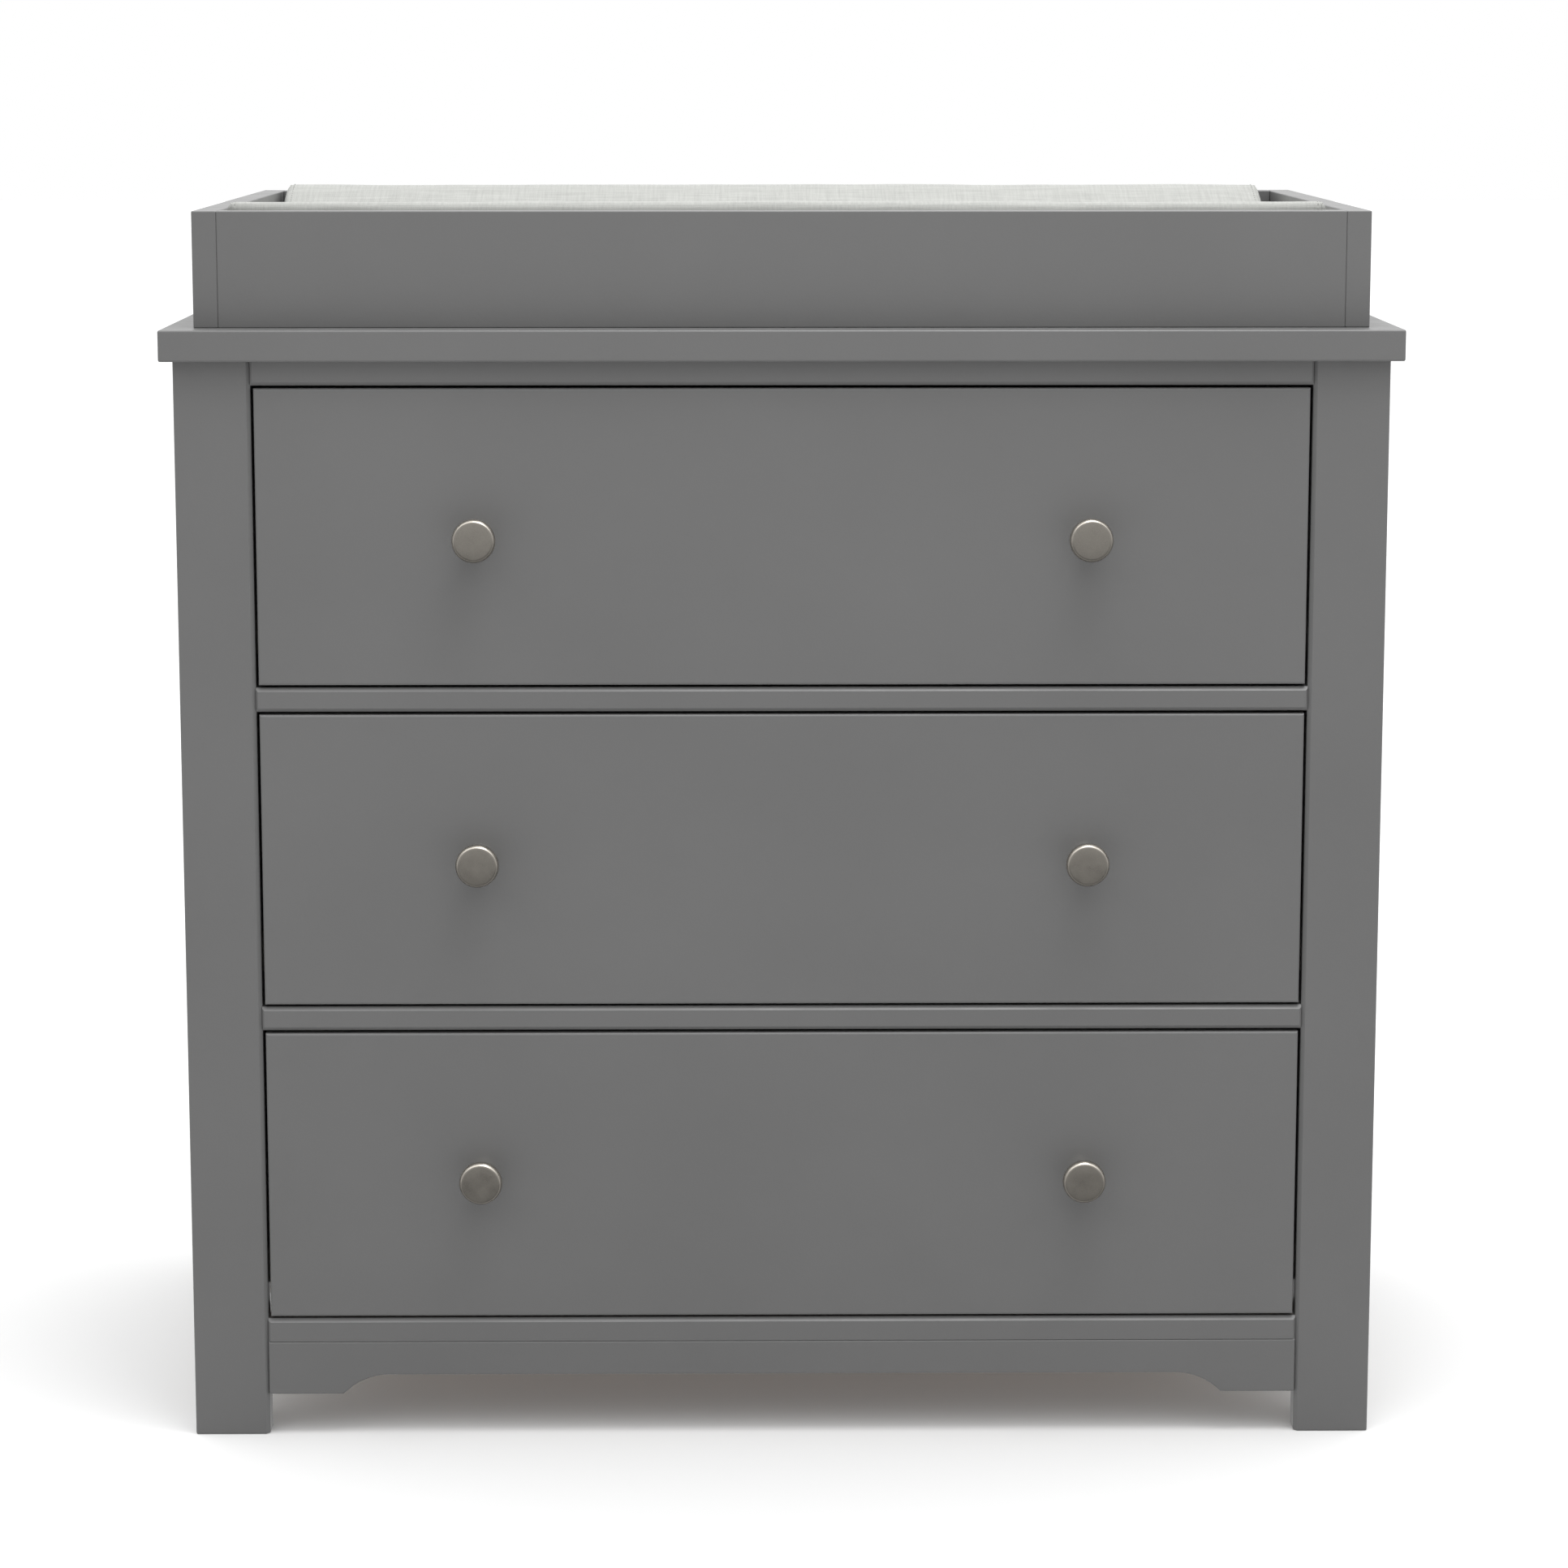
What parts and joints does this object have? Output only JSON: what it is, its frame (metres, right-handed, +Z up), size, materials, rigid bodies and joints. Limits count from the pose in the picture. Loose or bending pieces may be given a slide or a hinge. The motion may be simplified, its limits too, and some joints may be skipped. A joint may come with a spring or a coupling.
{
  "type": "changing table",
  "caption": "Painted chest of drawers with an open changing tray on top, a contoured fabric pad in the tray, round metal knobs and drawers on roller runners.",
  "frame": {"origin": "on the floor, under the middle of the whole object's box, from the knobs' faces to the rear edge of the top board", "axes": "+Z up, +X to the object's right as seen from the front, the front faces -Y"},
  "size_m": [0.906, 0.497, 0.9278],
  "materials": {
    "painted_board": "satin grey paint on solid board",
    "drawer_wood": "clear lacquered pale wood",
    "bare_wood": "planed softwood",
    "hardboard": "smooth hardboard",
    "knob_nickel": "satin nickel",
    "runner_steel": "cream epoxy coat",
    "roller_plastic": "moulded nylon",
    "zinc_steel": "zinc plate",
    "pad_fabric": "woven linen-look cover over foam"
  },
  "bodies": {
    "carcass": {"top_board": "painted_board", "top_front_rail": "painted_board", "upper_divider_rail": "painted_board", "lower_divider_rail": "painted_board", "bottom_front_rail": "painted_board", "front_apron": "painted_board", "rear_rails": "painted_board", "back_panel": "hardboard", "packing_battens": "bare_wood", "wall_bracket": "zinc_steel", "wall_bracket_screws": "zinc_steel", "tray_screws": "zinc_steel", "tray_front_rail": "painted_board", "tray_rear_rail": "painted_board", "tray_left_side": "painted_board", "tray_right_side": "painted_board", "left_front_leg": "painted_board", "left_side_stile": "painted_board", "left_rear_leg": "painted_board", "left_side_rails": "painted_board", "left_side_panel": "painted_board", "right_front_leg": "painted_board", "right_side_stile": "painted_board", "right_rear_leg": "painted_board", "right_side_rails": "painted_board", "right_side_panel": "painted_board", "bottom_cabinet_runners": "runner_steel", "middle_cabinet_runners": "runner_steel", "top_cabinet_runners": "runner_steel"},
    "bottom_drawer": {"bottom_drawer_front": "painted_board", "bottom_drawer_left_side": "drawer_wood", "bottom_drawer_right_side": "drawer_wood", "bottom_drawer_back": "drawer_wood", "bottom_drawer_floor": "hardboard", "bottom_drawer_knobs": "knob_nickel", "bottom_drawer_knob_screws": "zinc_steel", "bottom_drawer_runner_members": "runner_steel"},
    "bottom_front_rollers": {"bottom_front_rollers": "roller_plastic"},
    "bottom_rear_rollers": {"bottom_rear_rollers": "roller_plastic"},
    "middle_drawer": {"middle_drawer_front": "painted_board", "middle_drawer_left_side": "drawer_wood", "middle_drawer_right_side": "drawer_wood", "middle_drawer_back": "drawer_wood", "middle_drawer_floor": "hardboard", "middle_drawer_knobs": "knob_nickel", "middle_drawer_knob_screws": "zinc_steel", "middle_drawer_runner_members": "runner_steel"},
    "middle_front_rollers": {"middle_front_rollers": "roller_plastic"},
    "middle_rear_rollers": {"middle_rear_rollers": "roller_plastic"},
    "top_drawer": {"top_drawer_front": "painted_board", "top_drawer_left_side": "drawer_wood", "top_drawer_right_side": "drawer_wood", "top_drawer_back": "drawer_wood", "top_drawer_floor": "hardboard", "top_drawer_knobs": "knob_nickel", "top_drawer_knob_screws": "zinc_steel", "top_drawer_runner_members": "runner_steel"},
    "top_front_rollers": {"top_front_rollers": "roller_plastic"},
    "top_rear_rollers": {"top_rear_rollers": "roller_plastic"},
    "pad": {"changing_pad": "pad_fabric"}
  },
  "joints": [
    {"name": "bottom_drawer_slide", "type": "slide", "parent": "carcass", "child": "bottom_drawer", "axis": [0, -1, 0], "range_m": [0, 0.3]},
    {"name": "bottom_front_rollers_spin", "type": "hinge", "parent": "carcass", "child": "bottom_front_rollers", "pos_m": [0, -0.1905, 0.1248], "axis": [1, 0, 0], "continuous": true},
    {"name": "bottom_rear_rollers_spin", "type": "hinge", "parent": "bottom_drawer", "child": "bottom_rear_rollers", "pos_m": [0, 0.1795, 0.1248], "axis": [1, 0, 0], "continuous": true},
    {"name": "middle_drawer_slide", "type": "slide", "parent": "carcass", "child": "middle_drawer", "axis": [0, -1, 0], "range_m": [0, 0.3]},
    {"name": "middle_front_rollers_spin", "type": "hinge", "parent": "carcass", "child": "middle_front_rollers", "pos_m": [0, -0.1905, 0.3658], "axis": [1, 0, 0], "continuous": true},
    {"name": "middle_rear_rollers_spin", "type": "hinge", "parent": "middle_drawer", "child": "middle_rear_rollers", "pos_m": [0, 0.1795, 0.3658], "axis": [1, 0, 0], "continuous": true},
    {"name": "top_drawer_slide", "type": "slide", "parent": "carcass", "child": "top_drawer", "axis": [0, -1, 0], "range_m": [0, 0.3]},
    {"name": "top_front_rollers_spin", "type": "hinge", "parent": "carcass", "child": "top_front_rollers", "pos_m": [0, -0.1905, 0.6068], "axis": [1, 0, 0], "continuous": true},
    {"name": "top_rear_rollers_spin", "type": "hinge", "parent": "top_drawer", "child": "top_rear_rollers", "pos_m": [0, 0.1795, 0.6068], "axis": [1, 0, 0], "continuous": true},
    {"name": "pad_lift", "type": "slide", "parent": "carcass", "child": "pad", "axis": [0, 0, 1], "range_m": [0, 0.12]}
  ],
  "couplings": [
    {"joint": "bottom_front_rollers_spin", "follows": "bottom_drawer_slide", "rad_per_m": 100},
    {"joint": "bottom_rear_rollers_spin", "follows": "bottom_drawer_slide", "rad_per_m": 100},
    {"joint": "middle_front_rollers_spin", "follows": "middle_drawer_slide", "rad_per_m": 100},
    {"joint": "middle_rear_rollers_spin", "follows": "middle_drawer_slide", "rad_per_m": 100},
    {"joint": "top_front_rollers_spin", "follows": "top_drawer_slide", "rad_per_m": 100},
    {"joint": "top_rear_rollers_spin", "follows": "top_drawer_slide", "rad_per_m": 100}
  ]
}
